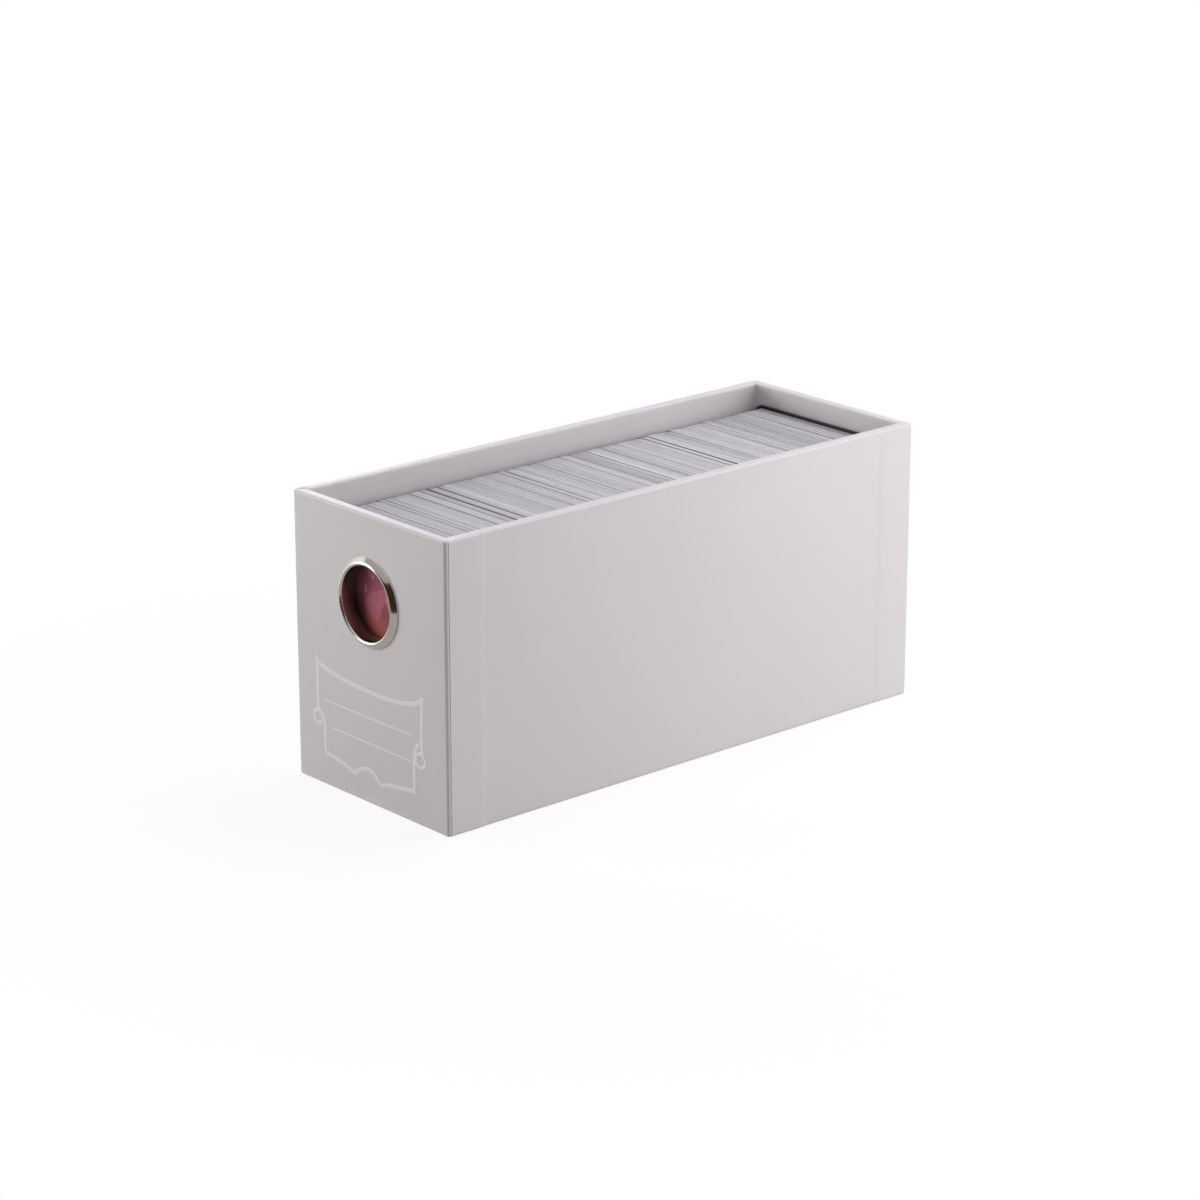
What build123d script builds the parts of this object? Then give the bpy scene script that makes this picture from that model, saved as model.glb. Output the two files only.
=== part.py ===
from build123d import *

import os

os.makedirs("parts", exist_ok=True)

# An open drawer of wrapped greyboard, full of one long row of upright trading cards.
# Millimetres. X runs across the width, Y from the front to the back, and Z up.
# The origin is the centre of the underside. The front face looks along -Y.

# ---------------------------------------------------------------- driving sizes

# one trading card
card_width = 63.0
card_height = 88.0
card_thickness = 0.305
card_corner_radius = 3.0

# the row of cards, front to back, in handfuls
card_air = 0.007  # between two neighbouring cards
handful_gap = 0.5  # between two neighbouring handfuls
handful_shares = (60, 84, 54, 52, 70, 66, 71, 46, 51, 50, 28)  # cards in each, as parts of the row
first_card_clearance = 0.3  # from the ring's rolled lip to the first card

# the room round the cards
inner_length = 203.4
room_left = 2.5
room_right = 6.6
headroom = 8.4  # from the tops of the cards up to the rim

# sheets and boards
board = 3.0
paper = 0.2
board_edge_radius = 0.9
turn_in = 13.0  # wrap folded over the rim and down inside
turn_under = 12.0  # wrap folded under the bottom board
flap_length = 13.5  # wrap's corner flaps, glued under its side panels
flap_ramp = 3.0  # where a side panel comes down off a flap
base_paper_inset = 2.0
lining_gap = 0.3  # from the wrap's turned-in edge to the lining
lining_seam = 0.5  # where the ends of the wall lining meet

# finger ring
ring_bore_radius = 12.65
ring_sheet = 0.35
ring_flange_width = 2.7  # from the bore out to the flange's edge
ring_crown = 1.8  # how far the flange's crest stands out
ring_crest_width = 1.0  # from the bore out to where the flange slopes down
ring_edge = 0.35  # height of the flange's upright edge
ring_rounding = 0.5
ring_lip_width = 1.0  # rolled out over the washer
ring_drop = 29.9  # from the rim down to the ring's centre
ring_hole_clearance = 0.1
washer_thickness = 0.4
washer_inset = 0.2  # its edge lies this far inside the flange's

# rear divider
divider_thickness = 0.8
divider_rise = 1.0  # above the cards
divider_side_clearance = 1.0
divider_back_clearance = 0.3

# ---------------------------------------------------------------- places worked out from them

inner_width = room_left + card_width + room_right
board_space_width = inner_width + 2 * paper
board_space_length = inner_length + 2 * paper
board_width = board_space_width + 2 * board
board_length = board_space_length + 2 * board
outer_width = board_width + 4 * paper  # a flap and a panel on each side
outer_length = board_length + 2 * paper
wrap_radius = board_edge_radius + paper

base_top = paper
board_foot = base_top + paper
wall_foot = board_foot + board
floor_top = wall_foot + paper
card_top = floor_top + card_height
rim = card_top + headroom
board_top = rim - paper
turned_edge = rim - turn_in
lining_top = turned_edge - lining_gap

front_face = -outer_length / 2
front_inside = -inner_length / 2
back_inside = inner_length / 2

ring_height = rim - ring_drop
ring_flange_radius = ring_bore_radius + ring_flange_width
ring_barrel_radius = ring_bore_radius + ring_sheet
ring_hole_radius = ring_barrel_radius + ring_hole_clearance
ring_lip_radius = ring_barrel_radius + ring_lip_width
washer_radius = ring_flange_radius - washer_inset
washer_back = front_inside + washer_thickness
ring_back = washer_back + ring_sheet

card_centre = -inner_width / 2 + room_left + card_width / 2
card_pitch = card_thickness + card_air
row_front = ring_back + first_card_clearance
divider_front = back_inside - divider_back_clearance - divider_thickness
row_room = divider_front - handful_gap - row_front
gaps_in_row = (len(handful_shares) - 1) * handful_gap
cards_in_row = int((row_room - gaps_in_row) / card_pitch)

front_plane = Plane.XZ.offset(-front_face)  # on the front face, its normal pointing out


def keep(piece, name):
    """Labels a finished piece and writes it under its own name."""
    piece.label = name
    export_step(piece, f"parts/{name}.step")


# The round hole through the front wall and its papers, cut from each of them.
with BuildPart() as ring_hole:
    with BuildSketch(front_plane):
        with Locations((0, ring_height)):
            Circle(ring_hole_radius)
    extrude(amount=-(front_inside - front_face + washer_thickness))


# ---------------------------------------------------------------- greyboard

with BuildPart() as bottom_board:
    with BuildSketch(Plane.XY.offset(board_foot)):
        Rectangle(board_width, board_length)
    extrude(amount=board)
    fillet(bottom_board.edges().filter_by(Axis.Z), radius=board_edge_radius)
    fillet(bottom_board.faces().sort_by(Axis.Z)[0].edges(), radius=board_edge_radius)
keep(bottom_board.part, "bottom_board")


def side_board(name, side):
    """A long wall, which runs the full length. side is -1 on the left and 1 on the right."""
    with BuildPart() as wall:
        with BuildSketch(Plane.XY.offset(wall_foot)):
            with Locations((side * (board_width - board) / 2, 0)):
                Rectangle(board, board_length)
        extrude(amount=board_top - wall_foot)
        outer_face = wall.faces().sort_by(Axis.X)[0 if side < 0 else -1]
        corner_edges = outer_face.edges().filter_by(Axis.Z)
        rim_edges = wall.faces().sort_by(Axis.Z)[-1].edges()
        fillet(corner_edges + rim_edges, radius=board_edge_radius)
    keep(wall.part, name)


side_board("left_board", -1)
side_board("right_board", 1)


def end_board(name, end, pierced):
    """A short wall, which stands between the long ones. end is -1 at the front and 1 at the back."""
    with BuildPart() as wall:
        with BuildSketch(Plane.XY.offset(wall_foot)):
            with Locations((0, end * (board_length - board) / 2)):
                Rectangle(board_space_width, board)
        extrude(amount=board_top - wall_foot)
        rim_edges = wall.faces().sort_by(Axis.Z)[-1].edges().filter_by(Axis.X)
        fillet(rim_edges, radius=board_edge_radius)
        if pierced:
            add(ring_hole.part, mode=Mode.SUBTRACT)
    keep(wall.part, name)


end_board("front_board", -1, True)
end_board("back_board", 1, False)

# ---------------------------------------------------------------- papers

# The space that the five boards fill, with the same rounded edges: the wrap goes round it.
with BuildPart() as board_space:
    with BuildSketch(Plane.XY.offset(board_foot)):
        Rectangle(board_width, board_length)
    extrude(amount=board_top - board_foot)
    fillet(board_space.edges().filter_by(Axis.Z), radius=board_edge_radius)
    fillet(board_space.faces().sort_by(Axis.Z)[0].edges(), radius=board_edge_radius)
    fillet(board_space.faces().sort_by(Axis.Z)[-1].edges(), radius=board_edge_radius)
    with BuildSketch(Plane.XY.offset(wall_foot)):
        Rectangle(board_space_width, board_space_length)
    extrude(amount=board_top - wall_foot, mode=Mode.SUBTRACT)
    inner_rim = board_space.faces().sort_by(Axis.Z)[-1].inner_wires()[0]
    fillet(inner_rim.edges(), radius=board_edge_radius)

with BuildPart() as outer_wrap:
    # outside: the side panels stand out over the corner flaps and come down between them
    with BuildSketch(Plane.XY.offset(base_top)):
        with BuildLine():
            over_flap = outer_width / 2
            between_flaps = over_flap - paper
            panel_corner = outer_length / 2
            flap_end = panel_corner - flap_length
            ramp_end = flap_end - flap_ramp
            right_side = [
                (over_flap, -panel_corner),
                (over_flap, -flap_end),
                (between_flaps, -ramp_end),
                (between_flaps, ramp_end),
                (over_flap, flap_end),
                (over_flap, panel_corner),
            ]
            left_side = [(-x, -y) for x, y in right_side]
            Polyline(*right_side, *left_side, close=True)
        make_face()
    extrude(amount=rim - base_top)
    upright_edges = outer_wrap.edges().filter_by(Axis.Z).group_by(Axis.Y)
    fillet(upright_edges[0] + upright_edges[-1], radius=wrap_radius)
    fillet(outer_wrap.faces().sort_by(Axis.Z)[0].edges(), radius=wrap_radius)
    fillet(outer_wrap.faces().sort_by(Axis.Z)[-1].edges(), radius=wrap_radius)
    # inside: the wrap folds over the rim and ends at the turned-in edge
    with BuildSketch(Plane.XY.offset(board_foot)):
        Rectangle(inner_width, inner_length)
    extrude(amount=rim - board_foot, mode=Mode.SUBTRACT)
    folded_rim = outer_wrap.faces().sort_by(Axis.Z)[-1].inner_wires()[0]
    fillet(folded_rim.edges(), radius=wrap_radius)
    with BuildSketch(Plane.XY.offset(wall_foot)):
        Rectangle(board_space_width, board_space_length)
    extrude(amount=turned_edge - wall_foot, mode=Mode.SUBTRACT)
    add(board_space.part, mode=Mode.SUBTRACT)
    # underneath: only a border is folded under the bottom board
    with BuildSketch(Plane.XY.offset(base_top)):
        Rectangle(board_width - 2 * turn_under, board_length - 2 * turn_under)
    extrude(amount=paper, mode=Mode.SUBTRACT)
    add(ring_hole.part, mode=Mode.SUBTRACT)
keep(outer_wrap.part, "outer_wrap")

with BuildPart() as base_paper:
    with BuildSketch():
        Rectangle(board_width - 2 * base_paper_inset, board_length - 2 * base_paper_inset)
    extrude(amount=paper)
keep(base_paper.part, "base_paper")

with BuildPart() as floor_lining:
    with BuildSketch(Plane.XY.offset(wall_foot)):
        Rectangle(board_space_width, board_space_length)
    extrude(amount=paper)
keep(floor_lining.part, "floor_lining")

with BuildPart() as wall_lining:
    with BuildSketch(Plane.XY.offset(floor_top)):
        Rectangle(board_space_width, board_space_length)
        Rectangle(inner_width, inner_length, mode=Mode.SUBTRACT)
        with Locations(((inner_width - lining_seam) / 2, back_inside)):
            Rectangle(lining_seam, 2 * paper, mode=Mode.SUBTRACT)
    extrude(amount=lining_top - floor_top)
    add(ring_hole.part, mode=Mode.SUBTRACT)
keep(wall_lining.part, "wall_lining")

# ---------------------------------------------------------------- finger ring

ring_axis = Axis((0, 0, ring_height), (0, 1, 0))

with BuildPart() as finger_ring:
    with BuildSketch(Plane.YZ):
        with BuildLine():
            flange_foot = (front_face, ring_height + ring_flange_radius)
            bore_end = (ring_back, ring_height + ring_bore_radius)
            crest = front_face - ring_crown
            FilletPolyline(
                flange_foot,
                (front_face - ring_edge, ring_height + ring_flange_radius),
                (crest, ring_height + ring_bore_radius + ring_crest_width),
                (crest, ring_height + ring_bore_radius),
                bore_end,
                radius=ring_rounding,
            )
            Polyline(
                bore_end,
                (ring_back, ring_height + ring_lip_radius),
                (washer_back, ring_height + ring_lip_radius),
                (washer_back, ring_height + ring_barrel_radius),
                (front_face, ring_height + ring_barrel_radius),
                flange_foot,
            )
        make_face()
    revolve(axis=ring_axis)
keep(finger_ring.part, "finger_ring")

with BuildPart() as ring_washer:
    with BuildSketch(Plane.XZ.offset(-front_inside)):
        with Locations((0, ring_height)):
            Circle(washer_radius)
            Circle(ring_hole_radius, mode=Mode.SUBTRACT)
    extrude(amount=-washer_thickness)
keep(ring_washer.part, "ring_washer")

# ---------------------------------------------------------------- cards and divider

# One card, upright on the floor with its printed face on Y = 0. Every card is a copy of it.
with BuildPart() as card:
    with BuildSketch(Plane.XZ):
        with Locations((card_centre, floor_top + card_height / 2)):
            RectangleRounded(card_width, card_height, card_corner_radius)
    extrude(amount=-card_thickness)


def place_in_row(index, handful):
    """Where the card with this index stands, in this handful: both count from 0 at the front."""
    return Pos(0, row_front + index * card_pitch + handful * handful_gap, 0)


# how many cards stand in front of each handful, and in the whole row
cards_before = [
    round(cards_in_row * sum(handful_shares[:count]) / sum(handful_shares))
    for count in range(len(handful_shares) + 1)
]

keep(place_in_row(0, 0) * card.part, "front_card")

for handful in range(len(handful_shares)):
    first = max(cards_before[handful], 1)  # the front card is a piece of its own
    last = cards_before[handful + 1]
    copies = [place_in_row(index, handful) * card.part for index in range(first, last)]
    keep(Compound(children=copies), f"cards_{handful + 1:02d}")

with BuildPart() as rear_divider:
    divider_height = card_height + divider_rise
    with BuildSketch(Plane.XZ.offset(-divider_front)):
        with Locations((0, floor_top + divider_height / 2)):
            RectangleRounded(inner_width - 2 * divider_side_clearance, divider_height, card_corner_radius)
    extrude(amount=-divider_thickness)
keep(rear_divider.part, "rear_divider")

print("outer size", outer_width, outer_length + ring_crown, rim)
print("cards in the row", cards_in_row)
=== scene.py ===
import math
import random

import bpy
from mathutils import Matrix, Vector


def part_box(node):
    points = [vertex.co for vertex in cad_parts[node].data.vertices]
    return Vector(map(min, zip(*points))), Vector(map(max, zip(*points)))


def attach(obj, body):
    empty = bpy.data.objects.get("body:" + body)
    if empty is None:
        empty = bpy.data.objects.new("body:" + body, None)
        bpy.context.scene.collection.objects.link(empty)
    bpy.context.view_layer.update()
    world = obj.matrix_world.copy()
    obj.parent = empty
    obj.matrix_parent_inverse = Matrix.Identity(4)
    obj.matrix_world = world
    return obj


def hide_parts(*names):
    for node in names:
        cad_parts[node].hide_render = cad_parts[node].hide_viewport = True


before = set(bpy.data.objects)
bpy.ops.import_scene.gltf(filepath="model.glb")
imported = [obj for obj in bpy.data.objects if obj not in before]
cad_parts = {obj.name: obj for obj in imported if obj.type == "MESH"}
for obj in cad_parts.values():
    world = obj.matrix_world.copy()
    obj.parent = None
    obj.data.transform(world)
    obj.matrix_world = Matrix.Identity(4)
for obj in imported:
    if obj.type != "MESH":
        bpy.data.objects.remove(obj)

# An open card drawer of wrapped greyboard, full of upright cards. Metres.
# X runs across the width, Y from the front to the back, and Z up. The front looks along -Y.

bpy.context.view_layer.update()

mm = 0.001

# -------- sizes taken from the frame

wrap_low, wrap_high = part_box("outer_wrap")
_, board_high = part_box("left_board")
_, end_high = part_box("front_board")
_, lining_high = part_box("wall_lining")
ring_low, ring_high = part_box("finger_ring")
_, washer_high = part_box("ring_washer")
front_card_low, front_card_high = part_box("front_card")
divider_low, divider_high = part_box("rear_divider")

half_width = wrap_high.x
half_length = wrap_high.y
rim = wrap_high.z
base = wrap_low.z
paper = rim - board_high.z
inner_half_width = -board_high.x - paper
inner_half_length = -end_high.y - paper
front_face = -half_length

ring_centre = (ring_low.z + ring_high.z) / 2
ring_outer_radius = (ring_high.x - ring_low.x) / 2
ring_crown = front_face - ring_low.y
ring_depth = ring_high.y - front_face

card_width = front_card_high.x - front_card_low.x
card_height = front_card_high.z - front_card_low.z
card_centre = (front_card_low.x + front_card_high.x) / 2
card_foot = front_card_low.z
row_front = front_card_low.y
handfuls = sorted(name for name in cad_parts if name.startswith("cards_"))

# -------- driving sizes of the looks

edge_radius = 1.1 * mm
rim_radius = 0.7 * mm  # of the rim's outer fold
inner_corner_radius = 0.3 * mm
inner_edge_radius = 0.6 * mm  # of the rim's inner fold
fold_bulge = 0.4 * mm  # the turned-in paper stands off the board this much at the rim
fold_bulge_depth = 5.0 * mm  # and lies flat from this far down
lining_gap = 0.3 * mm
turn_under = 12.0 * mm
flap_length = 13.5 * mm
flap_ramp = 3.4 * mm
panel_setback = 1.35 * mm  # a side panel's cut edge stops this far short of the corner
panel_edge = 0.09 * mm  # how sharply that cut edge drops
rim_step = 0.1 * mm  # a side panel's fold lies this far above the end panels' folds
ripple_depth = 0.035 * mm  # the glued paper's slight waviness
ripple_fade = 5.0 * mm  # which dies out this far from a wall's ends
skin_share = 0.9  # of the paper's thickness, given to the wrap's skin

fold_steps = 7  # in the quarter turn of a fold
coarse_mesh = 4.0 * mm  # how far apart points lie on the wrap's plain stretches
fine_mesh = 1.2 * mm  # and round the ring's hole
fine_reach = 17.0 * mm  # up to this far from the hole's centre
beside_fold = 0.5 * mm  # the nearest row of points to a fold
same_point = 0.002 * mm  # points that differ by less are one

ring_bore_radius = 12.65 * mm
ring_barrel_radius = 13.0 * mm
ring_lip_radius = 14.0 * mm
ring_hole_radius = 13.4 * mm
ring_crest_width = 1.15 * mm  # from the bore out to where the flange slopes down
ring_edge = 0.35 * mm  # height of the flange's upright edge
ring_edge_rounding = 0.3 * mm
ring_crest_rounding = 1.0 * mm
ring_mouth_rounding = 0.75 * mm
ring_roll = 0.32 * mm  # radius of the barrel's turn into the lip
ring_lip_chamfer = 0.15 * mm

card_corner_radius = 3.0 * mm
card_pitch = 0.312 * mm  # in the solids, which gives the number of cards in each handful
card_thickness = 0.298 * mm
front_card_rise = 0.1 * mm
divider_rounding = 0.12 * mm

# Cards stand in small runs that were put in together. Shifts go either way. Shifts and rises in mm.
run_lengths = (2, 13)
run_tones, card_tones = (0.93, 1.04), (0.94, 1.05)
run_shift, card_shift = 0.35, 0.12
run_rises, card_rises = (0.02, 0.24), (0.0, 0.1)

# Where the row of cards parts: from the front face, and the gap at the cards' left and right edges, in mm.
partings = [
    (23.5, 0.42, 0.20),
    (31.1, 0.30, 0.02),
    (40.8, 0.10, 0.05),
    (46.0, 0.20, 0.14),
    (50.0, 0.62, 0.52),
    (53.4, 0.42, 0.34),
    (60.6, 0.12, 0.08),
    (67.2, 0.16, 0.26),
    (74.5, 0.00, 0.50),
    (83.6, 0.36, 0.06),
    (93.8, 0.00, 0.12),
    (98.0, 0.22, 0.04),
    (105.8, 0.10, 0.16),
    (113.4, 0.14, 0.12),
    (116.8, 0.08, 0.30),
    (126.5, 0.26, 0.24),
    (145.6, 0.14, 0.04),
    (148.8, 0.06, 0.48),
    (156.0, 0.34, 0.14),
    (163.4, 0.16, 0.10),
    (173.2, 0.04, 0.40),
    (179.9, 0.46, 0.16),
    (187.0, 0.10, 0.10),
    (195.7, 0.14, 0.50),
]

# Stretches of the row whose cards have darker or whiter edges: start and end from the front face in
# mm, and their tone. All other cards have the plain tone.
plain_tone = 0.97
batches = [
    (4.0, 22.0, 0.93),
    (45.5, 51.5, 0.90),
    (51.5, 54.5, 0.83),
    (55.0, 58.0, 1.05),
    (58.0, 60.5, 0.93),
    (60.5, 70.0, 0.95),
    (84.0, 92.0, 1.03),
    (94.0, 100.0, 1.04),
    (104.0, 112.0, 1.02),
    (113.0, 118.0, 0.93),
    (118.5, 123.5, 1.05),
    (123.5, 132.0, 0.93),
    (150.5, 154.0, 1.10),
    (158.0, 164.0, 1.10),
    (164.5, 172.0, 1.04),
    (172.0, 175.0, 0.91),
    (183.0, 192.5, 0.86),
    (192.5, 199.5, 0.84),
    (199.5, 202.0, 0.93),
    (202.0, 206.5, 0.84),
]

# -------- small helpers


def smooth_step(value):
    """0 up to 0, 1 from 1, and a smooth rise between."""
    t = min(max(value, 0.0), 1.0)
    return t * t * (3 - 2 * t)


def evenly(start, end, spacing):
    """Numbers from start to end, both included, about this far apart."""
    steps = max(1, round(abs(end - start) / spacing))
    return [start + (end - start) * i / steps for i in range(steps + 1)]


def joined(*runs):
    """Runs of numbers end to end, each shared end kept once."""
    out = list(runs[0])
    for run in runs[1:]:
        out += run[1:]
    return out


def quarter(steps):
    """The angles of a quarter turn, in this many steps."""
    return [math.radians(90 * step / steps) for step in range(steps + 1)]


def new_object(name, data):
    """An object of this name in the scene."""
    thing = bpy.data.objects.new(name, data)
    bpy.context.scene.collection.objects.link(thing)
    return thing


def place_key(point):
    """The same key for points that fall together."""
    return tuple(round(c / same_point) for c in point)


def mesh_piece(name, vertices, faces, materials, body, sharp=35.0):
    """A mesh object that rides on a body, smooth except where it turns by more than sharp degrees."""
    mesh = bpy.data.meshes.new(name)
    mesh.from_pydata([tuple(v) for v in vertices], [], faces)
    mesh.polygons.foreach_set("use_smooth", [True] * len(mesh.polygons))
    for material in materials:
        mesh.materials.append(material)
    mesh.validate()
    mesh.set_sharp_from_angle(angle=math.radians(sharp))
    piece = new_object(name, mesh)
    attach(piece, body)
    return piece


def merged(vertices, faces):
    """The same mesh with vertices that fall together made one, and faces that vanish left out."""
    place, kept, index = {}, [], []
    for v in vertices:
        key = place_key(v)
        if key not in place:
            place[key] = len(kept)
            kept.append(v)
        index.append(place[key])
    new_faces = []
    for face in faces:
        corners = []
        for i in face:
            if index[i] not in corners:
                corners.append(index[i])
        if len(corners) > 2:
            new_faces.append(corners)
    return kept, new_faces


# -------- materials


def put(tree, socket, value):
    """Links a socket to this one, or sets this one to a number or a colour."""
    if isinstance(value, bpy.types.NodeSocket):
        tree.links.new(value, socket)
    else:
        socket.default_value = value


def add_node(tree, kind, inputs=None, **settings):
    """A node with these settings, and numbers or sockets for its inputs."""
    node = tree.nodes.new(kind)
    for key, value in settings.items():
        setattr(node, key, value)
    for key, value in (inputs or {}).items():
        put(tree, node.inputs[key], value)
    return node


class Shader:
    """A material's node tree, with short ways to add to it."""

    def __init__(self, name, **inputs):
        self.material = bpy.data.materials.new(name)
        self.material.use_nodes = True
        self.tree = self.material.node_tree
        self.surface = self.tree.nodes["Principled BSDF"]
        self.set(**inputs)

    def add(self, kind, inputs=None, **settings):
        return add_node(self.tree, kind, inputs, **settings)

    def math(self, operation, a, b=0.0):
        return self.add("ShaderNodeMath", {0: a, 1: b}, operation=operation).outputs[0]

    def times(self, a, b):
        return self.math("MULTIPLY", a, b)

    def off_middle(self, value):
        """How far a share is from a half."""
        return self.math("ABSOLUTE", self.math("SUBTRACT", value, 0.5))

    def between(self, value, low, high):
        """0 at low and beyond, 1 at high and beyond, and a smooth change between."""
        inputs = {"Value": value, "From Min": low, "From Max": high}
        return self.add("ShaderNodeMapRange", inputs, interpolation_type="SMOOTHSTEP").outputs["Result"]

    def scaled(self, value, low, high):
        """A value from 0 to 1 brought to between low and high."""
        inputs = {"Value": value, "To Min": low, "To Max": high}
        return self.add("ShaderNodeMapRange", inputs).outputs["Result"]

    def attribute(self, name):
        """A value that the mesh carries."""
        return self.add("ShaderNodeAttribute", attribute_name=name).outputs["Fac"]

    def card_place(self):
        """How far across and up a card's face a point lies, from 0 to 1."""
        uv = self.add("ShaderNodeSeparateXYZ", {0: self.add("ShaderNodeUVMap").outputs["UV"]})
        return uv.outputs["X"], uv.outputs["Y"]

    def hsv(self, hue, saturation, value):
        inputs = {0: hue, 1: saturation, 2: value}
        return self.add("ShaderNodeCombineColor", inputs, mode="HSV").outputs[0]

    def mix(self, share, a, b, blend="MIX"):
        node = self.add("ShaderNodeMix", data_type="RGBA", blend_type=blend)
        sockets = [s for s in node.inputs if s.enabled]
        for socket, value in zip(sockets, (share, a, b)):
            put(self.tree, socket, value)
        return next(s for s in node.outputs if s.enabled)

    def place(self, scale=(1, 1, 1)):
        """Position on the object, which is in metres."""
        position = self.add("ShaderNodeTexCoord").outputs["Object"]
        return self.add("ShaderNodeMapping", {"Vector": position, "Scale": scale}).outputs["Vector"]

    def noise(self, scale, detail=3.0, stretch=(1, 1, 1)):
        inputs = {"Vector": self.place(stretch), "Scale": scale, "Detail": detail}
        return self.add("ShaderNodeTexNoise", inputs).outputs["Fac"]

    def bump(self, height, distance, strength=1.0):
        inputs = {"Height": height, "Distance": distance, "Strength": strength}
        node = self.add("ShaderNodeBump", inputs)
        self.set(Normal=node.outputs["Normal"])

    def set(self, **inputs):
        for key, value in inputs.items():
            put(self.tree, self.surface.inputs[key.replace("_", " ")], value)


def paper_material(name, light, shade, roughness, coat):
    """Paper: two close tones in wide clouds, fine fibre mottling, and slight wear with painted shade along
    its folds.
    """
    s = Shader(name, Specular_IOR_Level=0.4, Coat_Weight=coat, Coat_Roughness=0.3)
    clouds = s.between(s.noise(14.0, 2.0), 0.3, 0.7)
    fibres = s.noise(1400.0, 4.0, (1, 1, 0.4))
    tone = s.mix(clouds, light, shade)
    tone = s.mix(s.times(fibres, 0.05), tone, (0.5, 0.48, 0.47, 1))
    # Folds, the upright corners among them, darken in patches: partly wear, partly painted shade.
    fold_wear_and_shade = s.times(s.attribute("fold"), s.between(s.noise(260.0, 4.0), 0.45, 0.75))
    tone = s.mix(s.times(fold_wear_and_shade, 0.16), tone, (0.46, 0.43, 0.41, 1))
    s.set(Base_Color=tone)
    grain = s.noise(2600.0, 2.0)
    s.set(Roughness=s.scaled(grain, roughness - 0.05, roughness + 0.05))
    s.bump(s.math("ADD", s.times(grain, 0.3), s.noise(420.0, 2.0)), 0.012 * mm)
    return s.material


def greyboard_material():
    """Recycled board: grey pulp with darker and paler flecks."""
    s = Shader("greyboard", Roughness=0.9, Specular_IOR_Level=0.2)
    pulp = s.mix(s.noise(300.0, 5.0), (0.36, 0.345, 0.32, 1), (0.47, 0.455, 0.43, 1))
    flecks = s.between(s.noise(1500.0, 2.0, (1, 1, 0.5)), 0.62, 0.7)
    s.set(Base_Color=s.mix(s.times(flecks, 0.5), pulp, (0.2, 0.19, 0.18, 1)))
    s.bump(s.noise(1200.0, 3.0), 0.05 * mm)
    return s.material


def metal_material(name, colour, roughness, brushed):
    """Metal with faint hairlines, and roughness that wanders a little."""
    s = Shader(name, Metallic=1.0)
    handled = s.noise(220.0, 3.0)
    s.set(Base_Color=s.mix(handled, colour, tuple(c * 0.94 for c in colour[:3]) + (1,)))
    s.set(Roughness=s.scaled(handled, roughness * 0.8, roughness * 1.3))
    s.bump(s.noise(1800.0, 2.0, (1, 6, 1)), brushed)
    return s.material


def card_edge_material():
    """Cut edges of cards: pale stock with a thin dark core, darkened towards both ends with painted shade
    of the walls, each card in its tone.
    """
    s = Shader("card_edges", Roughness=0.75, Specular_IOR_Level=0.25)
    tone = s.attribute("tone")
    through, along = s.card_place()  # on an edge, through the card's thickness and along the edge
    core = s.math("SUBTRACT", 1.0, s.between(s.off_middle(through), 0.05, 0.13))
    stock = s.mix(s.noise(900.0, 3.0, (0.3, 1, 1)), (0.745, 0.74, 0.78, 1), (0.865, 0.86, 0.90, 1))
    stock = s.mix(s.times(core, 0.5), stock, (0.16, 0.16, 0.2, 1))
    # Painted shade: the cut edges darken towards both ends, where the cards meet the walls.
    corner_painted_shade = s.between(s.off_middle(along), 0.36, 0.49)
    stock = s.mix(s.times(corner_painted_shade, 0.22), stock, (0.3, 0.28, 0.28, 1))
    grey = s.add("ShaderNodeCombineXYZ", {0: tone, 1: tone, 2: tone}).outputs[0]
    s.set(Base_Color=s.mix(1.0, stock, grey, "MULTIPLY"))
    return s.material


border, border_black = (0.05, 0.036), (0.012, 0.011, 0.01, 1)  # share of a card's width and height
card_grain, card_grain_depth = (2200.0, 2.0), 0.006 * mm
card_gloss = dict(Specular_IOR_Level=0.5, Coat_Weight=0.4, Coat_Roughness=0.2, Roughness=0.4)


def frame_mask(s, u, v, margin_u, margin_v):
    """1 inside a centred rectangle that leaves these margins, and 0 outside it."""
    in_u = s.math("LESS_THAN", s.off_middle(u), 0.5 - margin_u)
    in_v = s.math("LESS_THAN", s.off_middle(v), 0.5 - margin_v)
    return s.times(in_u, in_v)


def card_face_material():
    """A plain generic card face: dark border, a coloured panel, a cloudy picture and a pale box."""
    s = Shader("card_faces", **card_gloss)
    u, v = s.card_place()
    hue = s.attribute("hue")
    panel = s.hsv(hue, 0.35, 0.42)
    sky = s.hsv(s.math("ADD", hue, 0.08), 0.5, 0.7)
    land = s.hsv(s.math("ADD", hue, 0.45), 0.4, 0.2)
    clouds = s.between(s.noise(90.0, 4.0), 0.38, 0.66)
    face = s.mix(frame_mask(s, u, v, *border), border_black, panel)
    upper = s.times(frame_mask(s, u, v, 0.1, 0.1), s.math("GREATER_THAN", v, 0.45))
    face = s.mix(upper, face, s.mix(clouds, land, sky))
    lower = s.times(frame_mask(s, u, v, 0.1, 0.08), s.math("LESS_THAN", v, 0.38))
    face = s.mix(lower, face, (0.62, 0.58, 0.5, 1))
    s.set(Base_Color=face)
    s.bump(s.noise(*card_grain), card_grain_depth)
    return s.material


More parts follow.
